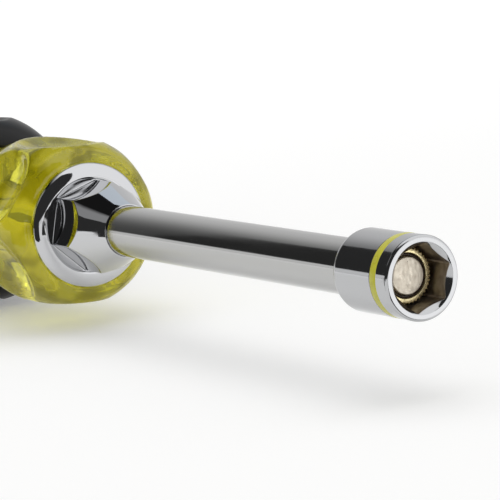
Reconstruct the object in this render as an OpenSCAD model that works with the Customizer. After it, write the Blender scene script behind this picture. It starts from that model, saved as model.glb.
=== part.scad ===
// Magnetic nut driver: socket head, solid shank, hexagonal bolster, clear handle and rubber grip.
// The tool lies along X. The origin is the centre of the socket's mouth, and the handle is behind it, at -X.

/* [Socket] */
// Size of the driving hexagon across its flats
hex_af = 8; // [7:0.1:8.4]
// Depth of the hexagon
hex_depth = 6; // [5.5:0.1:7]
// Outside diameter of the socket head
socket_d = 11.2; // [10.6:0.1:14]
// Length of the socket head's straight part
socket_len = 11.9; // [11.3:0.1:30]
// Length of the rounded shoulder behind it
shoulder_len = 1.4; // [1:0.1:6]
// Outer edge break of the mouth
mouth_edge = 0.25; // [0.1:0.05:0.35]
// How far the mouth's inner chamfer reaches past the hexagon's corners
mouth_lip = 0.16; // [0.05:0.01:0.25]

/* [Colour band] */
// Distance of the band behind the mouth
band_setback = 2.5; // [1:0.1:5]
// Width of the band
band_w = 1.4; // [0.6:0.1:4]
// Depth of its groove
band_t = 0.15; // [0.05:0.01:0.25]

/* [Magnet] */
// Diameter of the magnet
magnet_d = 4.9; // [4:0.1:5.4]
// Length of the magnet
magnet_len = 4; // [2:0.1:4.5]
// Depth of the magnet's face behind the mouth
magnet_depth = 3.4; // [2:0.1:4]
// How far the magnet stands out of its sleeve
magnet_proud = 0.2; // [0.1:0.1:1.2]
// Thickness of the bonding ring round the magnet
bond_t = 0.5; // [0.2:0.05:0.5]
// How far the bonding ring lies below the sleeve's face
bond_drop = 0.3; // [0.1:0.05:0.6]
// Thickness of the steel disc behind the magnet
backing_t = 1; // [0.5:0.1:1.2]
// Thickness of the sleeve's floor
sleeve_floor = 0.8; // [0.5:0.1:1]
// Wall of the sleeve, up to the crests of its knurl
sleeve_wall = 0.8; // [0.5:0.05:0.8]
// Depth of the knurl
knurl_depth = 0.2; // [0.05:0.01:0.25]
// Number of teeth of the knurl
knurl_count = 40; // [24:1:90]

/* [Shank] */
// Diameter of the shank
shank_d = 7.7; // [6:0.1:8.2]
// Distance from the socket's mouth to the handle's front face
reach = 90.9; // [60:0.1:260]
// Diameter of the tenon that holds the socket head
tenon_d = 5.2; // [4:0.1:5.6]
// Length of the tenon
tenon_len = 2.5; // [2:0.1:3.6]
// Length of the shank inside the handle
tang_len = 66; // [50:1:90]
// Span across the two wings that stop the shank turning
wing_span = 15; // [10:0.5:18]
// Thickness of the wings
wing_t = 2; // [1:0.1:4]
// Length of the wings
wing_len = 12; // [5:0.5:16]
// Distance of the wings behind the handle's front face
wing_setback = 30; // [24:0.5:32]

/* [Bolster] */
// Size of the bolster's hexagon across its flats
bolster_af = 12.2; // [10.5:0.1:14]
// Distance from the hexagon's root to its front corners
bolster_hex_len = 5.2; // [3:0.1:14]
// Slope of the nose, from the axis
nose_angle = 23; // [15:1:45]
// Wall of the nose at its front edge
nose_wall = 0.2; // [0.1:0.05:0.6]
// Diameter of the flange
flange_d = 19.3; // [18.8:0.1:20.4]
// Length of the flange's straight edge
flange_edge = 0.9; // [0.8:0.1:4]
// Width of the rounded bead on the flange, from its edge to its foot
bead_w = 2.5; // [1:0.1:2.5]
// Height of the bead over the straight edge
bead_h = 1; // [0.3:0.1:1.2]
// Depth of the flange's seat in the handle
flange_seat = 0.7; // [0.2:0.1:2]
// Diameter of the boss inside the handle
boss_d = 14; // [11:0.5:16]
// Length of the boss
boss_len = 5; // [2:0.5:12]

/* [Handle] */
// Length of the handle
handle_len = 115; // [100:1:150]
// Largest diameter of the knob in front of the grip
knob_d = 27.1; // [25:0.1:28]
// Diameter of the flat front face
front_d = 20.6; // [20.2:0.1:23]
// Length of the rounded shoulder behind the front face
knob_shoulder = 6.6; // [2:0.1:8]
// Distance from the front face to where the knob begins to narrow
knob_run = 10; // [8.5:0.1:12]
// Distance from the front face to the neck behind the knob, where the grip begins
knob_len = 30.8; // [27:0.1:34]
// Diameter of the neck
neck_d = 20.4; // [18:0.1:22]
// Number of scallops round the knob
scallops = 6; // [3:1:6]
// Radius of a scallop's ball cutter
scallop_r = 16; // [12:0.5:18]
// Depth of a scallop below the knob's largest diameter
scallop_depth = 2.9; // [1:0.1:3.1]
// Distance from the front face to the middle of a scallop
scallop_mid = 8.5; // [7:0.1:12]
// Diameter of the handle inside the grip
seat_d = 24.4; // [22.5:0.1:25.6]
// Length of the ramp from the neck to that diameter
seat_ramp = 3.5; // [1:0.1:6]
// Length of the butt behind the grip
butt_len = 7; // [4:0.5:15]
// Height of the butt's rim over the seat
butt_rim = 2.5; // [1:0.1:4]
// Rounding of the butt's edges
butt_round = 2.4; // [0.5:0.1:3]

/* [End disc] */
// Diameter of the colour disc in the butt
disc_d = 16; // [8:0.5:20]
// Thickness of the disc
disc_t = 1.5; // [0.8:0.1:3]
// How far the disc lies below the butt's face
disc_drop = 0.2; // [0.1:0.1:1]

/* [Grip] */
// Wall of the grip at its front bulge
bulge_t = 3.5; // [2:0.1:4.5]
// Wall of the grip at its front edge
lip_t = 0.5; // [0.2:0.1:1.5]
// Distance of the bulge behind the grip's front edge
bulge_at = 7; // [6:0.5:12]
// Wall of the grip at the waist behind the bulge
waist_t = 2.4; // [1.8:0.1:3.5]
// Distance of the waist behind the grip's front edge
waist_at = 23; // [20:0.5:30]
// Wall of the grip at its belly
belly_t = 3.8; // [2.6:0.1:6]
// Distance of the belly behind the grip's front edge
belly_at = 52; // [42:0.5:58]
// Wall of the grip at its rear edge
grip_end_t = 2.5; // [1:0.1:3.5]
// Number of flutes along the grip
grip_flutes = 6; // [3:1:8]
// Depth of a flute at the waist
flute_depth = 0.7; // [0.2:0.1:1.2]
// Radius of a flute's cutter
flute_r = 8; // [4:0.5:10]
// Length of the flute cutter's rounded ends
flute_tip = 14; // [4:0.5:20]
// Distance of the flutes behind the bulge
flute_setback = 2; // [0:0.5:6]
// Distance of the flutes before the grip's rear edge
flute_end = 16; // [12:0.5:24]

/* [Hidden] */
$fn = 96;
// Turn of both hexagons about the axis, from +Y to the first corner
hex_turn = 16;
// Turn of the scallops about the axis
scallop_turn = -4;
// Turn of the grip's flutes about the axis
flute_turn = -10;
// Radial play of the pressed and moulded fits
fit_gap = 0.02;
// Overrun of every cut
over = 1;
// Steps of a round stretch of an outline
arc_steps = 12;

socket_r = socket_d / 2;
shank_r = shank_d / 2;
// Corner radius of a hexagon of one unit across its flats
corner_share = 1 / sqrt(3);
hex_corner_r = hex_af * corner_share;
// The driving hexagon's corners are cut back by this share of their radius
corner_cut_share = 0.98;
mouth_r = hex_corner_r * corner_cut_share + mouth_lip;
socket_back = -(socket_len + shoulder_len);
// Step between the socket head's rear edge and the shank
seam_step = 0.2;

magnet_r = magnet_d / 2;
magnet_front = -magnet_depth;
magnet_back = magnet_front - magnet_len;
sleeve_front = magnet_front - magnet_proud;
bond_front = sleeve_front - bond_drop;
bond_r = magnet_r + bond_t;
backing_back = magnet_back - backing_t;
sleeve_back = backing_back - sleeve_floor;
sleeve_r = bond_r + fit_gap + sleeve_wall;

tenon_r = tenon_d / 2;
tenon_front = socket_back + tenon_len;
front = -reach;
tang_back = front - tang_len;
wing_front = front - wing_setback;
tang_chamfer = 0.8;

bolster_corner_r = bolster_af * corner_share;
flange_r = flange_d / 2;
flange_back = front - flange_seat;
bead_base = flange_back + flange_edge;
bead_top = bead_base + bead_h;
land_r = flange_r - bead_w;
// The bead's crest lies at this share of its width from the flange's edge
crest_share = 0.95;
crest_r = flange_r - bead_w * crest_share;
// Depth of the land at the foot of the hexagon, below the bead's crest
land_drop = 0.5;
hex_root = bead_top - land_drop;
hex_front = hex_root + bolster_hex_len;
nose_r = shank_r + nose_wall;
nose_front = hex_front + (bolster_corner_r - nose_r) / tan(nose_angle);
boss_r = boss_d / 2;
boss_back = flange_back - boss_len;

knob_r = knob_d / 2;
front_r = front_d / 2;
neck_r = neck_d / 2;
seat_r = seat_d / 2;
knob_back = front - knob_len;
butt = front - handle_len;
grip_back = butt + butt_len;
butt_r = seat_r + butt_rim;
disc_r = disc_d / 2;
disc_face = butt + disc_drop;
disc_front = disc_face + disc_t;
seat_front = knob_back - seat_ramp;

// Turns a shape drawn about Z, so that it lies along X with its angles counted from +Y to +Z
module along_x() {
    rotate([90, 0, 90]) children();
}

// A turned solid from its outline of [radius, place along X]
module turned(outline) {
    along_x() rotate_extrude() polygon(outline);
}

// A rod along X between two places
module rod(r, from, to) {
    along_x() translate([0, 0, from]) cylinder(r = r, h = to - from);
}

// Points of a quarter ellipse from [r0, x0] to [r1, x1], which leaves along X and arrives square to it
function quarter(r0, x0, r1, x1) = [
    for (i = [0 : arc_steps])
        [r1 + (r0 - r1) * cos(90 * i / arc_steps), x0 + (x1 - x0) * sin(90 * i / arc_steps)]
];

// Points of a smooth wave from [r0, x0] to [r1, x1], level at both ends
function wave(r0, x0, r1, x1) = [
    for (i = [0 : arc_steps])
        [r0 + (r1 - r0) * (1 - cos(180 * i / arc_steps)) / 2, x0 + (x1 - x0) * i / arc_steps]
];

function reversed(points) = [for (i = [len(points) - 1 : -1 : 0]) points[i]];

module socket_head() {
    band_front = -band_setback;
    band_back = band_front - band_w;
    groove_r = socket_r - band_t;
    outline = concat(
        [[0, 0], [socket_r - mouth_edge, 0], [socket_r, -mouth_edge], [socket_r, band_front]],
        [[groove_r, band_front], [groove_r, band_back], [socket_r, band_back]],
        quarter(socket_r, -socket_len, shank_r + seam_step, socket_back),
        [[0, socket_back]]
    );
    color("silver") difference() {
        turned(outline);
        hex_socket();
        rod(sleeve_r + fit_gap, sleeve_back - fit_gap, max(over - hex_depth, sleeve_front + fit_gap));
        turned([[0, over], [mouth_r + over, over], [0, -mouth_r]]);
        rod(tenon_r + fit_gap, socket_back - over, tenon_front + fit_gap);
    }
}

// The driving hexagon, with its corners cut back as a broach leaves them
module hex_socket() {
    along_x() rotate(hex_turn) translate([0, 0, -hex_depth]) linear_extrude(hex_depth + over)
        intersection() {
            circle(r = hex_corner_r, $fn = 6);
            circle(r = hex_corner_r * corner_cut_share);
        }
}

module colour_band() {
    color("yellowgreen") along_x() translate([0, 0, -band_setback - band_w]) linear_extrude(band_w)
        difference() {
            circle(r = socket_r);
            circle(r = socket_r - band_t);
        }
}

module magnet() {
    color("gainsboro") rod(magnet_r, magnet_back, magnet_front);
}

module magnet_bond() {
    color("saddlebrown") difference() {
        rod(bond_r, magnet_back, bond_front);
        rod(magnet_r + fit_gap, magnet_back - over, bond_front + over);
    }
}

module magnet_backing() {
    color("dimgray") rod(bond_r, backing_back, magnet_back);
}

// Brass cup with a straight knurl, pressed into the round hole behind the hexagon
module magnet_sleeve() {
    root_r = sleeve_r - knurl_depth;
    knurl = [
        for (i = [0 : knurl_count - 1], k = [0, 1])
            let (a = 360 * (i + k / 2) / knurl_count, r = k == 0 ? sleeve_r : root_r)
                [r * cos(a), r * sin(a)]
    ];
    color("goldenrod") difference() {
        along_x() translate([0, 0, sleeve_back]) linear_extrude(sleeve_front - sleeve_back) polygon(knurl);
        rod(bond_r + fit_gap, backing_back, sleeve_front + over);
    }
}

// Steel bar with a tenon in the socket head and two wings inside the handle
module shank() {
    color("lightgray") {
        rod(tenon_r, socket_back - over, tenon_front);
        turned([
            [0, socket_back],
            [shank_r, socket_back],
            [shank_r, tang_back + tang_chamfer],
            [shank_r - tang_chamfer, tang_back],
            [0, tang_back]
        ]);
        wings(0);
    }
}

// The wings, or with a play their slot in the handle
module wings(play) {
    translate([wing_front - wing_len - play, -wing_span / 2 - play, -wing_t / 2 - play])
        cube([wing_len + 2 * play, wing_span + 2 * play, wing_t + 2 * play]);
}

// Hexagonal bolster with a conical nose and a beaded flange, pressed onto the shank
module bolster() {
    inner = quarter(land_r, hex_root, crest_r, bead_top);
    outer = quarter(flange_r, bead_base, crest_r, bead_top);
    flange = concat(
        [[0, hex_root]],
        [for (i = [0 : arc_steps - 1]) inner[i]],
        reversed(outer),
        [[flange_r, flange_back], [boss_r, flange_back], [boss_r, boss_back], [0, boss_back]]
    );
    color("silver") difference() {
        union() {
            intersection() {
                along_x() rotate(hex_turn) translate([0, 0, flange_back])
                    cylinder(r = bolster_corner_r, h = nose_front - flange_back, $fn = 6);
                turned([
                    [0, nose_front],
                    [nose_r, nose_front],
                    [bolster_corner_r + over, hex_front - over / tan(nose_angle)],
                    [bolster_corner_r + over, flange_back],
                    [0, flange_back]
                ]);
            }
            turned(flange);
        }
        rod(shank_r + fit_gap, boss_back - over, nose_front + over);
    }
}

// Clear handle: scalloped knob, seat for the grip, and butt
module handle_core() {
    outline = concat(
        [[0, front]],
        reversed(quarter(knob_r, front - knob_shoulder, front_r, front)),
        wave(knob_r, front - knob_run, neck_r, knob_back),
        [[seat_r, seat_front], [seat_r, grip_back]],
        reversed(quarter(butt_r, grip_back - butt_round, butt_r - butt_round, grip_back)),
        quarter(butt_r, butt + butt_round, butt_r - butt_round, butt),
        [[0, butt]]
    );
    color("yellowgreen") difference() {
        turned(outline);
        for (i = [0 : scallops - 1])
            along_x() rotate(scallop_turn + 360 * (i + 0.5) / scallops) scallop();
        rod(flange_r + fit_gap, flange_back, front + over);
        rod(boss_r + fit_gap, boss_back, front + over);
        rod(shank_r + fit_gap, tang_back, front + over);
        wings(fit_gap);
        rod(disc_r + fit_gap, butt - over, disc_front);
    }
}

// A round-ended spindle about Z, whose straight part reaches between two heights
module spindle(r, tip, from, to) {
    rotate_extrude() polygon(concat(
        reversed(quarter(r, from, 0, from - tip)),
        quarter(r, to, 0, to + tip)
    ));
}

// One scallop's ball cutter, before it is laid along X
module scallop() {
    translate([knob_r - scallop_depth + scallop_r, 0, front - scallop_mid]) sphere(r = scallop_r);
}

// Soft grip sleeve over the handle's seat, with a front bulge, a waist and a belly
module grip_sleeve() {
    bulge_r = seat_r + bulge_t;
    waist_r = seat_r + waist_t;
    belly_r = seat_r + belly_t;
    lip_r = neck_r + fit_gap + lip_t;
    bulge_x = knob_back - bulge_at;
    waist_x = knob_back - waist_at;
    belly_x = knob_back - belly_at;
    outline = concat(
        [[0, knob_back]],
        reversed(quarter(bulge_r, bulge_x, lip_r, knob_back)),
        wave(bulge_r, bulge_x, waist_r, waist_x),
        wave(waist_r, waist_x, belly_r, belly_x),
        wave(belly_r, belly_x, seat_r + grip_end_t, grip_back),
        [[0, grip_back]]
    );
    hollow = [
        [0, knob_back + over],
        [neck_r + fit_gap, knob_back + over],
        [neck_r + fit_gap, knob_back],
        [seat_r + fit_gap, seat_front],
        [seat_r + fit_gap, grip_back - over],
        [0, grip_back - over]
    ];
    color("#2b2b2b") difference() {
        turned(outline);
        turned(hollow);
        for (i = [0 : grip_flutes - 1])
            along_x() rotate(flute_turn + 360 * (i + 0.5) / grip_flutes) grip_flute(bulge_x, waist_r);
    }
}

// One flute's cutter along the grip, before it is laid along X
module grip_flute(bulge_x, waist_r) {
    translate([waist_r - flute_depth + flute_r, 0, 0])
        spindle(flute_r, flute_tip, grip_back + flute_end, bulge_x - flute_setback);
}

module end_disc() {
    color("gold") rod(disc_r, disc_face, disc_front);
}

socket_head();
colour_band();
magnet();
magnet_bond();
magnet_backing();
magnet_sleeve();
shank();
bolster();
handle_core();
grip_sleeve();
end_disc();
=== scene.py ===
from math import cos, pi, radians, sin, sqrt, tan

import bmesh
import bpy
import numpy as np
from mathutils import Matrix, Vector


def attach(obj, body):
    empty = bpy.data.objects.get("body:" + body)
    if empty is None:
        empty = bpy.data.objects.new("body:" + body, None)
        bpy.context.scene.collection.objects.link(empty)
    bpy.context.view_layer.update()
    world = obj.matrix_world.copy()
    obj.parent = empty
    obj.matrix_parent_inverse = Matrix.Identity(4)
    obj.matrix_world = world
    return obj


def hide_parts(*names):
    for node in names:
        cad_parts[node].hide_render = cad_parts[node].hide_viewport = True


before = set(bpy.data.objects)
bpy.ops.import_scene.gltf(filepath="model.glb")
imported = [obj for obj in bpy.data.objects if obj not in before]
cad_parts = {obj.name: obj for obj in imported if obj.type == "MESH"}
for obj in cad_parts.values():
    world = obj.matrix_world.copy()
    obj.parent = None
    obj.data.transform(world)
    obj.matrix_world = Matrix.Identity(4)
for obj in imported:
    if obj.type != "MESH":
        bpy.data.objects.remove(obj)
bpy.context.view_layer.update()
mm = 0.001
print("frame loaded:", len(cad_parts), "nodes")

# camera at the photo's viewing angle: place and clip in metres, lens and sensor in mm
cameraSetup = {
    "place": (0.2982, -0.1988, 0.0619),
    "right": (0.5148, 0.8516, -0.0992),
    "up": (-0.0827, 0.1645, 0.9829),
    "lens": 206.0,
    "sensor": 36.0,
    "drop": 0.0018,
    "clip": (0.01, 20),
}


def makeCamera(s):
    right = Vector(s["right"]).normalized()
    up = Vector(s["up"])
    back = right.cross(up).normalized()
    up = back.cross(right)
    data = bpy.data.cameras.new("camera")
    data.lens = s["lens"]
    data.sensor_width = s["sensor"]
    data.shift_y = s["drop"]
    data.clip_start, data.clip_end = s["clip"]
    cam = bpy.data.objects.new("camera", data)
    turn = Matrix((right, up, back)).transposed().to_4x4()
    cam.matrix_world = Matrix.Translation(s["place"]) @ turn
    bpy.context.scene.collection.objects.link(cam)
    bpy.context.scene.camera = cam


makeCamera(cameraSetup)
print("camera set")


# mesh making: every piece is turned about X, with its radius free to change with the angle
weldDistance = 1e-7  # metres
noLimit = 99.0  # radius, in mm, where a cutter doesn't reach
largestSoftShare = 0.45  # share of a side that one rounding may take
shortestSide = 1e-9  # mm, keeps a division by a side's length whole
normalWeight = 80


def ringMesh(name, angles, rows, loop=False):
    # rows hold (x, radius) in mm, each a number or one value per angle; a radius of 0 makes a pole
    n = len(angles)
    ca, sa = np.cos(angles), np.sin(angles)
    points, rings = [], []
    for x, r in rows:
        if np.ndim(r) == 0 and r == 0:
            rings.append([len(points)] * n)
            points.append((float(x) * mm, 0.0, 0.0))
            continue
        xs, rs = np.broadcast_to(x, n), np.broadcast_to(r, n)
        start = len(points)
        rings.append(list(range(start, start + n)))
        for i in range(n):
            points.append((float(xs[i]) * mm, float(rs[i] * ca[i]) * mm, float(rs[i] * sa[i]) * mm))
    if loop:
        rings.append(rings[0])
    faces = []
    for a, b in zip(rings, rings[1:]):
        for i in range(n):
            j = (i + 1) % n
            face = [a[i], a[j], b[j], b[i]]
            face = [v for k, v in enumerate(face) if v not in face[:k]]
            if len(face) > 2:
                faces.append(face)
    mesh = bpy.data.meshes.new(name)
    mesh.from_pydata(points, [], faces)
    bm = bmesh.new()
    bm.from_mesh(mesh)
    bmesh.ops.remove_doubles(bm, verts=bm.verts, dist=weldDistance)
    bmesh.ops.recalc_face_normals(bm, faces=bm.faces)
    bm.to_mesh(mesh)
    bm.free()
    mesh.shade_smooth()
    piece = bpy.data.objects.new(name, mesh)
    bpy.context.scene.collection.objects.link(piece)
    return piece


def evenAngles(count):
    return np.arange(count) * 2 * pi / count


def softRows(corners, n, steps=4):
    # corners are (x, radius, softening); each corner is rounded over that length of both its sides
    at = [np.array([np.broadcast_to(float(v) if np.ndim(v) == 0 else v, n) for v in corner[:2]])
          for corner in corners]
    rows = [at[0]]
    for i in range(1, len(at) - 1):
        soft = corners[i][2]
        if not soft:
            rows.append(at[i])
            continue
        a, b = at[i - 1] - at[i], at[i + 1] - at[i]
        la = np.maximum(np.hypot(*a), shortestSide)
        lb = np.maximum(np.hypot(*b), shortestSide)
        start = at[i] + a / la * np.minimum(soft, largestSoftShare * la)
        end = at[i] + b / lb * np.minimum(soft, largestSoftShare * lb)
        for t in np.linspace(0, 1, steps + 1):
            rows.append((1 - t) ** 2 * start + 2 * t * (1 - t) * at[i] + t * t * end)
    rows.append(at[-1])
    return [(row[0], row[1]) for row in rows]


def quarterCurve(r0, x0, r1, x1, steps=14):
    # leaves along X at r0 and arrives square to X at r1, as in the part's source
    turns = [pi / 2 * i / steps for i in range(steps + 1)]
    return [(x0 + (x1 - x0) * sin(a), r1 + (r0 - r1) * cos(a), 0) for a in turns]


def plain(corners):
    # corners without their softening
    return [(x, r) for x, r, _ in corners]


def waveValue(v0, v1, t):
    # half a cosine wave from v0 to v1
    return v0 + (v1 - v0) * (1 - np.cos(pi * np.clip(t, 0, 1))) / 2


def softMin(a, b, k):
    # the smaller of two values, blended over a width of k
    h = np.clip(0.5 + 0.5 * (b - a) / k, 0, 1)
    return b * (1 - h) + a * h - k * h * (1 - h)


def hexAngles(turn, flatSteps, cornerHalf, cornerSteps):
    # angles packed closely at the six corners of a hexagon
    half = radians(30) - cornerHalf
    sector = list(np.linspace(-half, half, flatSteps + 1))
    sector += list(np.linspace(half, half + 2 * cornerHalf, cornerSteps + 1))[1:-1]
    out = []
    for k in range(6):
        middle = radians(turn + 30 + 60 * k)
        out += [middle + s for s in sector]
    return np.array(out)


def fromFlat(angles, turn):
    # angle from the middle of the nearest flat
    return (angles - radians(turn + 30) + pi / 6) % (pi / 3) - pi / 6


def roundedHexRadius(angles, turn, inRadius, cornerRound):
    # radius of a hexagon with rounded corners, at each angle
    b = np.abs(fromFlat(angles, turn))
    centre = (inRadius - cornerRound) / cos(pi / 6)
    startAngle = np.arctan((inRadius - cornerRound) * tan(pi / 6) / inRadius)
    g = pi / 6 - b
    inner = np.maximum(cornerRound ** 2 - (centre * np.sin(g)) ** 2, 0)
    return np.where(b <= startAngle, inRadius / np.cos(b), centre * np.cos(g) + np.sqrt(inner))


def cutLimit(cutter, centre, away):
    # radius left by a round cutter, at an angle from the middle of its cut
    inner = cutter ** 2 - (centre * np.sin(away)) ** 2
    return np.where(inner > 0, centre * np.cos(away) - np.sqrt(np.maximum(inner, 0)), noLimit)


def weighted(piece):
    mod = piece.modifiers.new("weighted", "WEIGHTED_NORMAL")
    mod.keep_sharp = True
    mod.weight = normalWeight


def settle(piece, slotName, material, *nodes):
    piece.data.materials.append(material)
    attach(piece, "root")
    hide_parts(*nodes)


# material making
midNoise = (0.3, 0.7)  # most values of a noise lie in this range
plasticIor = 1.5


class NodePen:
    # a short way to write the node tree of a material or a world
    def __init__(self, owner, outputKind):
        owner.use_nodes = True
        self.tree = owner.node_tree
        self.tree.nodes.clear()
        self.out = self.add(outputKind)

    def add(self, kind, **settings):
        node = self.tree.nodes.new(kind)
        for key, value in settings.items():
            setattr(node, key, value)
        return node

    def feed(self, node, socket, value):
        s = node.inputs[socket]
        if isinstance(value, bpy.types.NodeSocket):
            self.tree.links.new(value, s)
        elif isinstance(value, (tuple, list)) and s.type == "RGBA" and len(value) == 3:
            s.default_value = (*value, 1)
        else:
            s.default_value = value

    def objectPlace(self, stretch=(1, 1, 1)):
        place = self.add("ShaderNodeTexCoord").outputs["Object"]
        mapping = self.add("ShaderNodeMapping")
        self.feed(mapping, "Vector", place)
        self.feed(mapping, "Scale", stretch)
        return mapping.outputs["Vector"]

    def noise(self, scale, detail=3, stretch=(1, 1, 1), rough=0.5):
        node = self.add("ShaderNodeTexNoise")
        self.feed(node, "Vector", self.objectPlace(stretch))
        self.feed(node, "Scale", scale)
        self.feed(node, "Detail", detail)
        self.feed(node, "Roughness", rough)
        return node.outputs["Fac"]

    def spread(self, value, low, high, toLow, toHigh):
        node = self.add("ShaderNodeMapRange", interpolation_type="SMOOTHSTEP")
        sockets = ("Value", "From Min", "From Max", "To Min", "To Max")
        for socket, v in zip(sockets, (value, low, high, toLow, toHigh)):
            self.feed(node, socket, v)
        return node.outputs["Result"]

    def maths(self, operation, a, b=0.0):
        node = self.add("ShaderNodeMath", operation=operation)
        self.feed(node, 0, a)
        self.feed(node, 1, b)
        return node.outputs[0]

    def blendColours(self, share, a, b):
        node = self.add("ShaderNodeMix", data_type="RGBA")
        self.feed(node, 0, share)
        self.feed(node, 6, a)
        self.feed(node, 7, b)
        return node.outputs[2]

    def bump(self, height, distance, strength=1.0, normal=None):
        node = self.add("ShaderNodeBump")
        self.feed(node, "Height", height)
        self.feed(node, "Distance", distance)
        self.feed(node, "Strength", strength)
        if normal is not None:
            self.feed(node, "Normal", normal)
        return node.outputs["Normal"]

    def product(self, first, *others):
        for other in others:
            first = self.maths("MULTIPLY", first, other)
        return first

    def largest(self, first, *others):
        for other in others:
            first = self.maths("MAXIMUM", first, other)
        return first

    def distance(self, a, b):
        return self.maths("SQRT", self.maths("ADD", self.product(a, a), self.product(b, b)))

    def parts(self, stretch=(1, 1, 1)):
        # x, y and z in the piece's own space, in metres
        split = self.add("ShaderNodeSeparateXYZ")
        self.feed(split, "Vector", self.objectPlace(stretch))
        return split.outputs

    def axisParts(self):
        # x along the tool and the distance from its axis
        x, y, z = self.parts()
        return x, self.distance(y, z)

    def emission(self, strength, colour=(1, 1, 1)):
        node = self.add("ShaderNodeEmission")
        self.feed(node, "Color", colour)
        self.feed(node, "Strength", strength)
        return node.outputs[0]

    def seenRays(self):
        # 1 for camera, mirrored and refracted rays, 0 for the others
        path = self.add("ShaderNodeLightPath").outputs
        seen = self.maths("ADD", path["Is Camera Ray"], path["Is Glossy Ray"])
        return self.maths("MINIMUM", self.maths("ADD", seen, path["Is Transmission Ray"]), 1.0)

    def toOutput(self, shader, other=None, socket="Surface"):
        # joins one shader, or the sum of two, to the output
        if other is not None:
            both = self.add("ShaderNodeAddShader")
            self.tree.links.new(shader, both.inputs[0])
            self.tree.links.new(other, both.inputs[1])
            shader = both.outputs[0]
        self.tree.links.new(shader, self.out.inputs[socket])

    def principled(self, **values):
        node = self.add("ShaderNodeBsdfPrincipled")
        for key, value in values.items():
            self.feed(node, key.replace("_", " "), value)
        self.toOutput(node.outputs[0])


def newMaterial(name):
    material = bpy.data.materials.new(name)
    return material, NodePen(material, "ShaderNodeOutputMaterial")


chromeLook = {"colour": (0.50, 0.505, 0.515), "rough": (0.035, 0.09), "wave": 0.004 * mm, "waveScale": 420}
grainScale, grainShare = 6000, 0.02  # fine grain on every chromed surface


def makeChrome(name, look, stretch=(1, 1, 1)):
    material, pen = newMaterial(name)
    cloud = pen.noise(look["waveScale"], 3, stretch)
    fine = pen.noise(grainScale, 2, stretch)
    rough = pen.spread(cloud, *midNoise, *look["rough"])
    normal = pen.bump(cloud, look["wave"])
    normal = pen.bump(fine, look["wave"] * grainShare, 1.0, normal)
    return material, pen, rough, normal


def plainChrome(name, look, stretch=(1, 1, 1)):
    material, pen, rough, normal = makeChrome(name, look, stretch)
    pen.principled(Base_Color=look["colour"], Metallic=1.0, Roughness=rough, Normal=normal)
    return material


# socket head: chromed outside, satin brown inside the hexagon
socketLook = {
    "radius": 5.6, "straight": 11.9, "shoulder": 1.4, "rearRadius": 4.05, "edge": 0.25,
    "bandFrom": 2.5, "bandTo": 3.9, "groove": 0.15, "hexAf": 8.0, "hexTurn": 16.0, "cornerCut": 0.98,
    "lip": 0.16, "hexDepth": 6.0, "holeRadius": 3.79, "holeEnd": 9.22, "tenonRadius": 2.62, "tenonEnd": 10.78,
    "soft": 0.1, "bandSoft": 0.03, "lipSoft": 0.04, "hexSoft": 0.06, "margin": 0.12,
    "boreColour": (0.38, 0.32, 0.26), "boreStain": (0.55, 0.49, 0.42), "boreRough": 0.38, "stainScale": 900,
    "boreRim": (4.56, 4.60), "boreStart": (0.02, 0.10),  # where the plating ends, in mm
}


def makeSocketHead(s):
    inRadius = s["hexAf"] / 2
    corner = inRadius / cos(pi / 6)
    cut = corner * s["cornerCut"]
    cornerHalf = pi / 6 - np.arccos(inRadius / cut)
    angles = hexAngles(s["hexTurn"], 34, cornerHalf, 6)
    hexRadius = np.minimum(inRadius / np.cos(fromFlat(angles, s["hexTurn"])), cut)
    mouth = cut + s["lip"]
    outer, tenon, hole = s["radius"], s["tenonRadius"], s["holeRadius"]
    tenonEnd, holeEnd, hexEnd = -s["tenonEnd"], -s["holeEnd"], -s["hexDepth"]
    rear = -(s["straight"] + s["shoulder"])
    bandTo, bandFrom, edge = -s["bandTo"], -s["bandFrom"], s["edge"]
    soft, margin, bandSoft = s["soft"], s["margin"], s["bandSoft"]
    groove = outer - s["groove"]
    corners = [(tenonEnd, 0, 0), (tenonEnd, tenon, 0), (rear, tenon, 0), (rear, s["rearRadius"], margin)]
    corners += list(reversed(quarterCurve(outer, -s["straight"], s["rearRadius"], rear)))[1:]
    corners += [(bandTo - 5 * margin, outer, 0), (bandTo - margin, outer, 0), (bandTo, outer, bandSoft),
                (bandTo, groove, 0), (bandFrom, groove, 0), (bandFrom, outer, bandSoft),
                (bandFrom + margin, outer, 0), (-2 * edge, outer, 0), (-edge, outer, soft),
                (0, outer - edge, soft), (0, outer - edge - 2 * soft, 0), (0, mouth + margin, 0),
                (0, mouth, s["lipSoft"]), (hexRadius - mouth, hexRadius, s["hexSoft"]),
                (hexEnd, hexRadius, 0), (hexEnd, hole, soft), (holeEnd, hole, 0), (holeEnd, 0, 0)]
    rows = softRows(corners, len(angles))
    rows[0], rows[-1] = (tenonEnd, 0), (holeEnd, 0)
    return ringMesh("socketHead", angles, rows)


def makeSocketMaterial(s, look):
    material, pen, rough, normal = makeChrome("socketChrome", look, (0.5, 1, 1))
    x, away = pen.axisParts()
    mouth = s["hexAf"] / 2 / cos(pi / 6) * s["cornerCut"] + s["lip"]
    behind = pen.maths("SUBTRACT", away, x)
    rimFrom, rimTo = (r * mm for r in s["boreRim"])
    startFrom, startTo = ((mouth + v) * mm for v in s["boreStart"])
    inside = pen.product(pen.spread(away, rimFrom, rimTo, 1.0, 0.0),
                         pen.spread(behind, startFrom, startTo, 0.0, 1.0))
    stain = pen.spread(pen.noise(s["stainScale"], 4), 0.35, 0.7, 0.0, 1.0)
    brown = pen.blendColours(stain, s["boreColour"], s["boreStain"])
    pen.principled(Base_Color=pen.blendColours(inside, look["colour"], brown), Metallic=1.0,
                   Roughness=pen.maths("ADD", rough, pen.product(inside, s["boreRough"])), Normal=normal)
    return material


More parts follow.
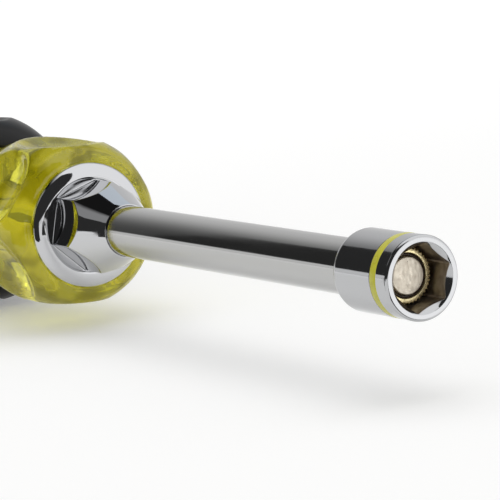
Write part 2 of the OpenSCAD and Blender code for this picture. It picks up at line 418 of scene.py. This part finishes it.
socket = makeSocketHead(socketLook)
weighted(socket)
settle(socket, "chrome", makeSocketMaterial(socketLook, chromeLook), "socket_head")
print("socket head done")

# colour band: a thin ring a touch crowned in its groove
bandLook = {
    "from": -2.5, "to": -3.9, "outer": 5.6, "inner": 5.45, "crown": 0.02, "slope": 0.25, "soft": 0.06,
    "colour": (0.62, 0.60, 0.05), "dull": (0.54, 0.51, 0.04), "rough": (0.16, 0.3), "wave": 0.006 * mm,
    "cloudScale": 700,
}


def makeBand(s):
    front, back, outer = s["from"], s["to"], s["outer"]
    low = outer - s["crown"]
    corners = [(back, s["inner"], 0), (back, low, s["soft"]), (back + s["slope"], outer, 0),
               (front - s["slope"], outer, 0), (front, low, s["soft"]), (front, s["inner"], 0)]
    angles = evenAngles(192)
    return ringMesh("colourBand", angles, softRows(corners, len(angles)), loop=True)


def makeBandMaterial(s):
    material, pen = newMaterial("bandPaint")
    cloud = pen.noise(s["cloudScale"], 3)
    colour = pen.blendColours(pen.spread(cloud, 0.3, 0.75, 0.0, 1.0), s["colour"], s["dull"])
    pen.principled(Base_Color=colour, Roughness=pen.spread(cloud, 0.2, 0.8, *s["rough"]), IOR=plasticIor,
                   Normal=pen.bump(cloud, s["wave"]))
    return material


band = makeBand(bandLook)
weighted(band)
settle(band, "band_paint", makeBandMaterial(bandLook), "colour_band")
print("colour band done")

# magnet, its bond and the knurled sleeve, all deep in the socket
magnetLook = {
    "radius": 2.45, "front": -3.4, "back": -7.4, "edge": 0.14, "backEdge": 0.1, "faceRing": 1.2,
    "colour": (0.88, 0.81, 0.69), "worn": (0.78, 0.70, 0.58), "pit": (0.08, 0.06, 0.04),
    "rough": (0.32, 0.55), "metal": 0.75, "dents": 0.02 * mm, "scuffs": 0.012 * mm,
    "blotchScale": 1500, "scuffScale": 2600, "pitScale": 3300, "pitNoise": (0.70, 0.76),
}
bondLook = {
    "inner": 2.47, "outer": 2.95, "front": -3.9, "back": -7.4, "dip": 0.22, "sideDip": 0.8, "flat": 0.1,
    "soft": 0.03, "colour": (0.028, 0.016, 0.010), "pale": (0.06, 0.035, 0.02), "rough": (0.18, 0.4),
    "lumps": 0.03 * mm, "lumpScale": 2200,
}
sleeveLook = {
    "inner": 2.97, "crest": 3.77, "depth": 0.2, "teeth": 40, "front": -3.6, "back": -9.2, "floor": 0.8,
    "chamfer": 0.14, "rearChamfer": 0.1, "innerChamfer": 0.06, "colour": (0.92, 0.80, 0.47),
    "grime": (0.42, 0.31, 0.15), "rough": (0.22, 0.4), "marks": 0.01 * mm, "grimeScale": 2500,
    "toothCut": (1.3, 0.1), "toothSoft": 0.03, "faceSoft": 0.02,
}


def makeMagnet(s):
    angles = evenAngles(96)
    front, back, radius = s["front"], s["back"], s["radius"]
    corners = [(back, 0, 0), (back, radius, s["backEdge"]), (front, radius, s["edge"]),
               (front, s["faceRing"], 0), (front, 0, 0)]
    rows = softRows(corners, len(angles), 5)
    rows[0], rows[-1] = (back, 0), (front, 0)
    return ringMesh("magnetDisc", angles, rows)


def makeMagnetMaterial(s):
    material, pen = newMaterial("magnetPlating")
    blotch = pen.noise(s["blotchScale"], 5, rough=0.65)
    scuff = pen.noise(s["scuffScale"], 4, (1, 1, 0.5), 0.6)
    pits = pen.spread(pen.noise(s["pitScale"], 2), *s["pitNoise"], 0.0, 1.0)
    colour = pen.blendColours(pen.spread(blotch, 0.35, 0.7, 0.0, 1.0), s["colour"], s["worn"])
    colour = pen.blendColours(pits, colour, s["pit"])
    pen.principled(Base_Color=colour, Metallic=s["metal"],
                   Roughness=pen.spread(scuff, *midNoise, *s["rough"]),
                   Normal=pen.bump(scuff, s["scuffs"], 0.6, pen.bump(blotch, s["dents"])))
    return material


def makeBond(s):
    angles = evenAngles(96)
    # the bond's face sinks between its two walls, by most of its dip already beside the middle
    front, back, inner, outer = s["front"], s["back"], s["inner"], s["outer"]
    middle, side = (inner + outer) / 2, front - s["dip"] * s["sideDip"]
    corners = [(back, inner, 0), (front, inner, s["soft"]), (side, middle - s["flat"], 0),
               (front - s["dip"], middle, 0), (side, middle + s["flat"], 0),
               (front, outer, s["soft"]), (back, outer, 0)]
    return ringMesh("bondRing", angles, softRows(corners, len(angles)), loop=True)


def makeBondMaterial(s):
    material, pen = newMaterial("curedBond")
    lump = pen.noise(s["lumpScale"], 3)
    pen.principled(Base_Color=pen.blendColours(lump, s["colour"], s["pale"]),
                   Roughness=pen.spread(lump, *midNoise, *s["rough"]), Normal=pen.bump(lump, s["lumps"]))
    return material


def makeSleeve(s):
    angles = evenAngles(s["teeth"] * 6)
    # the teeth are triangles with their crests and roots cut flat
    tooth = 1 - np.abs(((angles * s["teeth"] / (2 * pi)) % 1) * 2 - 1)
    steep, crestFlat = s["toothCut"]
    outer = s["crest"] - s["depth"] * np.clip(tooth * steep - crestFlat, 0, 1)
    front, back, inner = s["front"], s["back"], s["inner"]
    floorFace, soft = back + s["floor"], s["faceSoft"]
    corners = [(back, 0, 0), (back, outer - s["rearChamfer"], 0), (back + s["rearChamfer"], outer, 0),
               (front - s["chamfer"], outer, 0), (front, outer - s["chamfer"], s["toothSoft"]),
               (front, inner + s["innerChamfer"], soft), (front - s["innerChamfer"], inner, soft),
               (floorFace, inner, 0), (floorFace, 0, 0)]
    rows = softRows(corners, len(angles), 2)
    rows[0], rows[-1] = (back, 0), (floorFace, 0)
    return ringMesh("knurledSleeve", angles, rows)


def makeBrassMaterial(s):
    material, pen = newMaterial("turnedBrass")
    grime = pen.noise(s["grimeScale"], 4)
    colour = pen.blendColours(pen.spread(grime, 0.5, 0.8, 0.0, 0.6), s["colour"], s["grime"])
    pen.principled(Base_Color=colour, Metallic=1.0, Roughness=pen.spread(grime, *midNoise, *s["rough"]),
                   Normal=pen.bump(grime, s["marks"]))
    return material


magnet = makeMagnet(magnetLook)
weighted(magnet)
settle(magnet, "magnet_plating", makeMagnetMaterial(magnetLook), "magnet")
bond = makeBond(bondLook)
settle(bond, "bond", makeBondMaterial(bondLook), "magnet_bond")
sleeve = makeSleeve(sleeveLook)
weighted(sleeve)
settle(sleeve, "sleeve_brass", makeBrassMaterial(sleeveLook), "magnet_sleeve")
print("magnet, bond and sleeve done")

# bolster: hexagon, conical nose, flat land at its root and beaded flange
bolsterLook = {
    "af": 12.2, "turn": 16.0, "cornerRound": 0.22, "noseFront": -77.95, "noseRadius": 4.05, "noseAngle": 23,
    "bore": 3.87, "boreLip": 0.4, "root": -90.2, "flangeRadius": 9.65, "crest": 7.275, "land": 7.15,
    "beadBase": -90.7, "beadHeight": 1.0, "beadFoot": 0.3, "flangeBack": -91.6, "bossRadius": 7.0,
    "bossBack": -96.6, "noseSoft": 0.05, "noseRim": 0.06, "coneSoft": 0.16, "rootSoft": 0.15,
    "landSoft": 0.04, "flangeSoft": 0.12, "bossSoft": 0.3,
}


def makeBolster(s):
    inRadius = s["af"] / 2
    half = pi / 6 - np.arctan((inRadius - s["cornerRound"]) * tan(pi / 6) / inRadius)
    angles = hexAngles(s["turn"], 40, half, 6)
    hexRadius = roundedHexRadius(angles, s["turn"], inRadius, s["cornerRound"])
    front, root, bore, nose = s["noseFront"], s["root"], s["bore"], s["noseRadius"]
    land, crest, base, flange = s["land"], s["crest"], s["beadBase"], s["flangeRadius"]
    flangeBack, bossBack, boss = s["flangeBack"], s["bossBack"], s["bossRadius"]
    coneX = front - (hexRadius - nose) / tan(radians(s["noseAngle"]))
    corners = [(bossBack, bore, 0), (front - s["boreLip"], bore, 0), (front, bore, s["noseSoft"]),
               (front, nose, s["noseRim"])]
    corners += [(front + (coneX - front) * t, nose + (hexRadius - nose) * t, 0) for t in (0.25, 0.5, 0.75)]
    corners.append((coneX, hexRadius, s["coneSoft"]))
    corners += [(coneX + (root - coneX) * t, hexRadius, 0) for t in (0.3, 0.6, 0.9)]
    corners += [(root, hexRadius, s["rootSoft"]), (root, (hexRadius + land) / 2, 0),
                (root, land, s["landSoft"])]
    corners += quarterCurve(land, root, crest, base + s["beadHeight"], 6)[1:]
    for a in np.linspace(0, pi / 2, 10)[1:]:
        corners.append((base + s["beadHeight"] * cos(a), crest + (flange - crest) * sin(a), 0))
    corners += [(base - s["beadFoot"], flange, 0), (flangeBack, flange, s["flangeSoft"]),
                (flangeBack, boss, 0), (bossBack, boss, s["bossSoft"]), (bossBack, bore, 0)]
    rows = softRows(corners, len(angles))[:-1]
    return ringMesh("bolster", angles, rows, loop=True)


bolsterFinish = {"colour": (0.58, 0.585, 0.60), "rough": (0.02, 0.06), "wave": 0.002 * mm, "waveScale": 300}
bolster = makeBolster(bolsterLook)
weighted(bolster)
settle(bolster, "bolster_chrome", plainChrome("bolsterChrome", bolsterFinish), "bolster")
print("bolster done")

# shank and the steel disc behind the magnet keep their CAD shape
shankFinish = {
    "colour": (0.485, 0.485, 0.48), "rough": (0.05, 0.12), "wave": 0.004 * mm, "waveScale": 600,
    "drawn": (0.08, 1, 1),  # the waves are long along the bar
}
steelFinish = {"dark": (0.40, 0.40, 0.42), "pale": (0.50, 0.50, 0.52), "rough": (0.3, 0.5), "markScale": 3000}


def makeSteelMaterial(s):
    material, pen = newMaterial("plainSteel")
    mark = pen.noise(s["markScale"], 3)
    pen.principled(Base_Color=pen.blendColours(mark, s["dark"], s["pale"]), Metallic=1.0,
                   Roughness=pen.spread(mark, *midNoise, *s["rough"]))
    return material


def repaint(node, material):
    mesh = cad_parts[node].data
    if not mesh.materials:
        mesh.materials.append(material)
    for i in range(len(mesh.materials)):
        mesh.materials[i] = material


repaint("shank", plainChrome("shankChrome", shankFinish, shankFinish["drawn"]))
repaint("magnet_backing", makeSteelMaterial(steelFinish))
print("shank and backing painted")

# clear handle: scalloped knob in front, seat for the grip, butt behind
handleLook = {
    "front": -90.9, "frontRadius": 10.3, "knobRadius": 13.55, "shoulder": 6.6, "knobRun": 10.0,
    "neckX": -121.7, "neck": 10.2, "seat": 12.2, "seatX": -125.2, "gripBack": -198.9, "buttRadius": 14.7,
    "buttRound": 2.4, "butt": -205.9, "scallopTurn": -4.0, "scallopRadius": 16.0, "scallopDepth": 2.9,
    "scallopMid": -99.4, "soft": 0.25, "flange": 9.67, "flangeX": -91.6, "flangeEdge": 0.06,
    "boss": 7.02, "bossX": -96.6, "bore": 3.87, "boreEnd": -156.9, "disc": 8.02, "discX": -204.2,
    "discEdge": 0.1,
    # the plastic
    "clear": (0.90, 0.88, 0.08), "density": 75.0, "yellow": (0.86, 0.83, 0.03), "haze": 0.06, "glow": 6.2,
    # the pale and dark patch tints and their noise are painted light and shade, standing in for the bright
    # and dark spots that refraction makes in the plastic
    "ripple": 0.35 * mm, "rippleScale": 160, "paintedLightShadeScale": 200, "paintedLightTint": (1.0, 1.0, 0.46),
    "paintedShadeTint": (0.42, 0.41, 0.06), "paintedLightShadeNoise": (0.40, 0.60), "rough": (0.015, 0.06),
    "speckScale": 1800, "ior": 1.47, "clearEdge": (-122.3, -121.5),  # where it turns clear, in mm
}


def scallopLimit(s, x, away):
    # radius of the scallops' ball at a place along X and an angle from the nearest scallop's middle
    cutter = sqrt(max(s["scallopRadius"] ** 2 - (x - s["scallopMid"]) ** 2, 0))
    centre = s["knobRadius"] - s["scallopDepth"] + s["scallopRadius"]
    return cutLimit(cutter, centre, away)


def makeHandle(s):
    angles = evenAngles(288)
    n = len(angles)
    away = (angles - radians(s["scallopTurn"])) % (pi / 3) - pi / 6
    front, shoulder, knobEnd = s["front"], s["front"] - s["shoulder"], s["front"] - s["knobRun"]
    knobRadius, neckX = s["knobRadius"], s["neckX"]
    profile = plain(reversed(quarterCurve(knobRadius, shoulder, s["frontRadius"], front, 26)))
    profile += [(x, knobRadius) for x in np.linspace(shoulder, knobEnd, 9)[1:]]
    for t in np.linspace(0, 1, 40)[1:]:
        profile.append((knobEnd + (neckX - knobEnd) * t, float(waveValue(knobRadius, s["neck"], t))))
    knob = [(x, softMin(np.full(n, r), scallopLimit(s, x, away), s["soft"])) for x, r in profile]
    bore, boss, flange, edge = s["bore"], s["boss"], s["flange"], s["flangeEdge"]
    inside = [(s["boreEnd"], 0), (s["boreEnd"], bore), (s["bossX"], bore), (s["bossX"], boss),
              (s["flangeX"], boss), (s["flangeX"], flange), (front - edge, flange),
              (front, flange + edge), (front, (flange + s["frontRadius"]) / 2)]
    radius, rounding, gripBack, butt = s["buttRadius"], s["buttRound"], s["gripBack"], s["butt"]
    flat = radius - rounding
    disc, discEdge = s["disc"], s["discEdge"]
    rear = [(s["seatX"], s["seat"]), (gripBack, s["seat"]), (gripBack, flat)]
    rear += plain(reversed(quarterCurve(radius, gripBack - rounding, flat, gripBack)))[1:]
    rear += plain(quarterCurve(radius, butt + rounding, flat, butt))
    rear += [(butt, disc + discEdge), (butt + discEdge, disc), (s["discX"], disc), (s["discX"], 0)]
    return ringMesh("clearHandle", angles, inside + knob + rear)


def makeClearMaterial(s):
    # clear in front of the neck and solid yellow behind it
    material, pen = newMaterial("clearAcetate")
    x = pen.parts()[0]
    front = pen.spread(x, *(v * mm for v in s["clearEdge"]), 0.0, 1.0)
    # painted light and shade: paler and darker patches at random in the plastic's tint, standing in for the
    # bright and dark spots that refraction makes
    paintedLightShade = pen.spread(pen.noise(s["paintedLightShadeScale"], 2), *s["paintedLightShadeNoise"], 0.0, 1.0)
    paintedLightShadeTint = pen.blendColours(paintedLightShade, s["paintedShadeTint"], s["paintedLightTint"])
    pen.principled(Base_Color=pen.blendColours(front, s["yellow"], paintedLightShadeTint), IOR=s["ior"],
                   Roughness=pen.spread(pen.noise(s["speckScale"], 3), 0.4, 0.8, *s["rough"]),
                   Transmission_Weight=pen.product(front, 1.0 - s["haze"]),
                   Normal=pen.bump(pen.noise(s["rippleScale"], 2), s["ripple"]))
    volume = pen.add("ShaderNodeVolumeAbsorption")
    pen.feed(volume, "Color", s["clear"])
    pen.feed(volume, "Density", s["density"])
    # a faint glow inside stands for the light that cloudy plastic scatters
    pen.toOutput(volume.outputs[0], pen.emission(s["glow"], s["yellow"]), "Volume")
    return material


handle = makeHandle(handleLook)
settle(handle, "clear_handle", makeClearMaterial(handleLook), "handle_core")
print("clear handle done")

# grip sleeve: blunt front, bulge, waist, belly and six flutes
gripLook = {
    "front": -121.7, "lip": 10.72, "bulge": 15.7, "bulgeX": -128.7, "waist": 14.6, "waistX": -144.7,
    "belly": 16.0, "bellyX": -173.7, "rear": 14.7, "rearX": -198.9, "neck": 10.22, "seat": 12.22,
    "seatX": -125.2, "fluteDepth": 0.7, "fluteRadius": 8.0, "fluteTip": 14.0, "fluteFrom": -130.7,
    "fluteTo": -182.9, "fluteTurn": -10.0, "soft": 0.5, "colour": (0.006, 0.006, 0.0065),
    "rearSteps": ((0.3, 0.0), (0.08, 0.1), (0.0, 0.35)),  # run and drop at each step of the rear edge
    "worn": (0.009, 0.009, 0.0095), "rough": (0.30, 0.38), "shine": 0.28, "grain": 0.02 * mm,
    "grainScale": 5200, "cloudScale": 140, "ior": 1.48,
}


def fluteLimit(s, x, away):
    # radius of the flutes' rod, whose rounded ends reach past fluteFrom and fluteTo
    beyond = max(x - s["fluteFrom"], s["fluteTo"] - x, 0) / s["fluteTip"]
    cutter = s["fluteRadius"] * sqrt(max(1 - beyond * beyond, 0))
    centre = s["waist"] - s["fluteDepth"] + s["fluteRadius"]
    return cutLimit(cutter, centre, away)


def makeGrip(s):
    angles = evenAngles(288)
    n = len(angles)
    away = (angles - radians(s["fluteTurn"])) % (pi / 3) - pi / 6
    profile = plain(reversed(quarterCurve(s["bulge"], s["bulgeX"], s["lip"], s["front"], 24)))
    for start, end, count in (("bulge", "waist", 26), ("waist", "belly", 36), ("belly", "rear", 34)):
        x0, x1 = s[start + "X"], s[end + "X"]
        for t in np.linspace(0, 1, count + 1)[1:]:
            profile.append((x0 + (x1 - x0) * t, float(waveValue(s[start], s[end], t))))
    outer = [(x, softMin(np.full(n, r), fluteLimit(s, x, away), s["soft"])) for x, r in profile]
    # the rear edge is broken in three steps
    rearX, rear = outer.pop()
    outer += [(rearX + run, rear - drop) for run, drop in s["rearSteps"]]
    inner = [(rearX, s["seat"]), (s["seatX"], s["seat"]), (s["front"], s["neck"])]
    return ringMesh("gripSleeve", angles, outer + inner, loop=True)


def makeRubberMaterial(s):
    material, pen = newMaterial("softVinyl")
    grain = pen.noise(s["grainScale"], 3)
    cloud = pen.noise(s["cloudScale"], 3)
    colour = pen.blendColours(pen.spread(cloud, *midNoise, 0.0, 1.0), s["colour"], s["worn"])
    pen.principled(Base_Color=colour, Roughness=pen.spread(cloud, *midNoise, *s["rough"]), IOR=s["ior"],
                   Specular_IOR_Level=s["shine"], Normal=pen.bump(grain, s["grain"], 0.7))
    return material


grip = makeGrip(gripLook)
settle(grip, "grip_rubber", makeRubberMaterial(gripLook), "grip_sleeve")
print("grip sleeve done")

# plain disc in the butt
discLook = {
    "radius": 8.0, "face": -205.7, "front": -204.2, "rim": 1.2, "step": 0.15, "edge": 0.3, "soft": 0.1,
    "colour": (0.60, 0.50, 0.03), "dull": (0.52, 0.42, 0.02), "rough": (0.25, 0.4), "wave": 0.01 * mm,
    "cloudScale": 500,
}


def makeDisc(s):
    angles = evenAngles(128)
    front, face, radius, soft = s["front"], s["face"], s["radius"], s["soft"]
    middle, rim = face + s["step"], radius - s["rim"]
    corners = [(front, 0, 0), (front, radius, 0), (face, radius, s["edge"]), (face, rim, soft),
               (middle, rim - 2 * s["step"], soft), (middle, 0, 0)]
    rows = softRows(corners, len(angles))
    rows[0], rows[-1] = (front, 0), (middle, 0)
    return ringMesh("endDisc", angles, rows)


def makeDiscMaterial(s):
    material, pen = newMaterial("discPlastic")
    cloud = pen.noise(s["cloudScale"], 3)
    pen.principled(Base_Color=pen.blendColours(cloud, s["colour"], s["dull"]), IOR=plasticIor,
                   Roughness=pen.spread(cloud, *midNoise, *s["rough"]), Normal=pen.bump(cloud, s["wave"]))
    return material


disc = makeDisc(discLook)
weighted(disc)
settle(disc, "disc_plastic", makeDiscMaterial(discLook), "end_disc")
print("end disc done")

# stage: floor, studio shell that only reflections see, world and lamp
stageLook = {
    "floorZ": -0.0163, "floorSize": 6.0, "floorColour": (0.78, 0.78, 0.775), "floorGlow": 0.27,
    "farGlow": 0.48, "near": 0.15, "far": 0.75, "ambient": 0.60,
    "lampPlace": (-0.10, 0.05, 0.75), "lampTarget": (-0.06, 0, 0), "lampSize": (0.9, 0.8), "lamp": 2.6,
    "bounces": (24, 12, 20),
}
# brightness of the sky's parts, and where each begins and ends: high and around in degrees,
# x and y as shares of the sky's radius
skyLook = {
    "radius": 0.7, "centre": (-0.085, 0.0, 0.0), "dark": 0.012,
    "back": 0.72, "backEnd": 0.08, "backAround": (155, 214), "backHigh": (40, 51),
    "right": 1.2, "rightX": (-0.25, 0.1), "rightY": (-0.45, 0.05),
    "topX": (-0.12, 0.05), "topHigh": (32, 40), "topY": (0.24, 0.40),
    "left": 0.33, "leftHigh": (14, 22), "leftTop": (52, 58), "leftY": (-0.5, -0.65),
    "rim": 0.85, "rimHigh": (4.0, 6.5),
}
# cards that only reflections see: pages lie on the floor as x and y ranges in mm, flags hang away from
# the sky's centre by so many metres
cardLook = {
    "black": 0.035, "page": (35, 170, 15, 120), "pageLevel": 1.55, "darkPage": (12, 400, -20, 12),
    "overhead": 0.85, "overheadTint": (0.84, 0.92, 1.0), "strip": 1.7, "curtainX": -300, "wallTop": 4,
    "lowFlagAway": 0.50, "cameraFlagAway": 0.48, "overheadAway": 0.52, "flagSteps": 60, "rag": 0.5,
    "pageZ": stageLook["floorZ"] + 0.3 * mm, "wallZ": stageLook["floorZ"] + 0.2 * mm,
}


def makeFloor(s):
    mesh = bpy.data.meshes.new("floor")
    h, z = s["floorSize"] / 2, s["floorZ"]
    mesh.from_pydata([(-h, -h, z), (h, -h, z), (h, h, z), (-h, h, z)], [], [(0, 1, 2, 3)])
    floor = bpy.data.objects.new("floor", mesh)
    bpy.context.scene.collection.objects.link(floor)
    material, pen = newMaterial("paleFloor")
    matt = pen.add("ShaderNodeBsdfDiffuse")
    pen.feed(matt, "Color", s["floorColour"])
    # the floor brightens into the white background, and stays as it is near the tool
    x, y, z = pen.parts()
    level = pen.spread(pen.distance(x, y), s["near"], s["far"], s["floorGlow"], s["farGlow"])
    pen.toOutput(matt.outputs[0], pen.emission(pen.product(pen.seenRays(), level)))
    mesh.materials.append(material)


def glossyOnly(card):
    for ray in ("visible_camera", "visible_diffuse", "visible_transmission", "visible_shadow",
                "visible_volume_scatter"):
        setattr(card, ray, False)


def addCard(name, points, faces, material):
    mesh = bpy.data.meshes.new(name)
    mesh.from_pydata(points, [], faces)
    mesh.materials.append(material)
    card = bpy.data.objects.new(name, mesh)
    bpy.context.scene.collection.objects.link(card)
    glossyOnly(card)


def plainGlow(name, level, colour=(1, 1, 1)):
    material, pen = newMaterial(name)
    pen.toOutput(pen.emission(level, colour))
    return material


def skyPoint(azimuth, elevation, away):
    a, e = radians(azimuth), radians(elevation)
    cx, cy, cz = skyLook["centre"]
    return (cx + away * cos(e) * cos(a), cy + away * cos(e) * sin(a), cz + away * sin(e))


def makeSky(s):
    # studio that only reflections see: grey panel behind, pale right and front top, dim left, the rest dark
    bm = bmesh.new()
    bmesh.ops.create_uvsphere(bm, u_segments=96, v_segments=48, radius=s["radius"])
    mesh = bpy.data.meshes.new("studioSky")
    bm.to_mesh(mesh)
    bm.free()
    sky = bpy.data.objects.new("studioSky", mesh)
    sky.location = s["centre"]
    bpy.context.scene.collection.objects.link(sky)
    material, pen = newMaterial("studioSky")
    x, y, z = pen.parts((1 / s["radius"],) * 3)
    high = pen.product(pen.maths("ARCSINE", z), 180 / pi)
    around = pen.product(pen.maths("ARCTAN2", y, x), 180 / pi)
    # azimuth counted on past 180, so that the panel can fade across the back towards the left
    around = pen.maths("MODULO", pen.maths("ADD", around, 360.0), 360.0)
    back = pen.product(pen.spread(around, *s["backAround"], s["back"], s["backEnd"]),
                       pen.spread(high, *s["backHigh"], 1.0, 0.0))
    rim = pen.spread(high, *s["rimHigh"], s["rim"], 0.0)
    right = pen.product(pen.spread(x, *s["rightX"], 0.0, s["right"]), pen.spread(y, *s["rightY"], 0.0, 1.0))
    top = pen.product(pen.spread(x, *s["topX"], 0.0, s["right"]), pen.spread(high, *s["topHigh"], 0.0, 1.0),
                      pen.spread(y, *s["topY"], 0.0, 1.0))
    left = pen.product(pen.spread(high, *s["leftHigh"], 0.0, s["left"]),
                       pen.spread(high, *s["leftTop"], 1.0, 0.0), pen.spread(y, *s["leftY"], 0.0, 1.0))
    pen.toOutput(pen.emission(pen.largest(back, right, top, left, rim, s["dark"])))
    mesh.materials.append(material)
    glossyOnly(sky)


def stripFaces(steps):
    # faces of a strip whose points run in pairs, low and high
    return [(2 * i, 2 * i + 2, 2 * i + 3, 2 * i + 1) for i in range(steps)]


def makePatch(name, low, high, away, material, rag=0.0):
    # low and high are lists of (azimuth, elevation) along the card's lower and upper edge
    steps = cardLook["flagSteps"]
    points = []
    lowAz, lowEl = zip(*low)
    highAz, highEl = zip(*high)
    for i in range(steps + 1):
        a = lowAz[0] + (lowAz[-1] - lowAz[0]) * i / steps
        ragged = rag * (sin(i * 2.3) + sin(i * 5.1 + 1)) / 2
        points.append(skyPoint(a, float(np.interp(a, lowAz, lowEl)), away))
        points.append(skyPoint(a, float(np.interp(a, highAz, highEl)) + ragged, away))
    addCard(name, points, stripFaces(steps), material)


def makePage(name, sides, z, material):
    x0, x1, y0, y1 = (v * mm for v in sides)
    addCard(name, [(x0, y0, z), (x1, y0, z), (x1, y1, z), (x0, y1, z)], [(0, 1, 2, 3)], material)


def makeCards(s):
    black = plainGlow("blackCard", s["black"])
    # curtain behind the tool on the left, whose slanting edge ends the black band on the chrome
    curtain = [(-61, 165), (-67, 151), (-99.7, 119), (-120.5, 81.5), (-135, 30), (-500, 30), (-500, 200),
               (-56, 200)]
    points = [(s["curtainX"] * mm, y * mm, z * mm) for y, z in curtain]
    addCard("curtain", points, [tuple(range(len(curtain)))], black)
    makePatch("lowFlag", [(-122, 2), (-60, -3)], [(-122, 30), (-60, 30)], s["lowFlagAway"], black, s["rag"])
    makePage("pageLight", s["page"], s["pageZ"], plainGlow("pageLight", s["pageLevel"]))
    # flag round the camera; its right edge splits the bright crescent on the bolster's flange
    flagTop = [(-100, 30), (-84, 44), (-60, 54), (0, 54), (14, 38), (20.6, 25), (20.8, 8)]
    makePatch("cameraFlag", [(-100, 2), (20.8, 2)], flagTop, s["cameraFlagAway"], black)
    overhead = plainGlow("overheadLight", s["overhead"], s["overheadTint"])
    makePatch("overheadLight", [(105, 38), (165, 38)], [(105, 67), (165, 67)], s["overheadAway"], overhead)
    strip = plainGlow("overheadStrip", s["strip"])
    makePatch("overheadStrip", [(118, 42), (150, 42)], [(118, 44), (150, 44)], s["overheadAway"], strip)
    makePage("darkPage", s["darkPage"], s["pageZ"], black)
    # low wall that hides the floor towards the camera
    wall = [(-100, -74), (-84, -64), (-66, -54), (-46, -40), (-28, -33)]
    points = []
    for x, y in wall:
        points += [(x * mm, y * mm, s["wallZ"]), (x * mm, y * mm, s["wallTop"] * mm)]
    addCard("lowWall", points, stripFaces(len(wall) - 1), black)


def makeWorld(s):
    # white where it is seen, and only ambient light where it isn't
    world = bpy.data.worlds.new("studio")
    bpy.context.scene.world = world
    pen = NodePen(world, "ShaderNodeOutputWorld")
    back = pen.add("ShaderNodeBackground")
    pen.feed(back, "Color", (1, 1, 1))
    pen.feed(back, "Strength", pen.maths("MAXIMUM", pen.seenRays(), s["ambient"]))
    pen.toOutput(back.outputs[0])


def makeLamp(s):
    data = bpy.data.lights.new("topLight", "AREA")
    data.shape = "RECTANGLE"
    data.size, data.size_y = s["lampSize"]
    data.energy = s["lamp"]
    lamp = bpy.data.objects.new("topLight", data)
    lamp.location = s["lampPlace"]
    aim = Vector(s["lampTarget"]) - Vector(s["lampPlace"])
    lamp.rotation_euler = aim.to_track_quat("-Z", "Y").to_euler()
    lamp.visible_glossy = False
    bpy.context.scene.collection.objects.link(lamp)


makeFloor(stageLook)
makeSky(skyLook)
makeCards(cardLook)
makeWorld(stageLook)
makeLamp(stageLook)
bpy.context.scene.view_settings.view_transform = "Standard"
# the clear handle needs long paths
cycles = bpy.context.scene.cycles
cycles.max_bounces, cycles.glossy_bounces, cycles.transmission_bounces = stageLook["bounces"]
print("stage, world and lamp done")
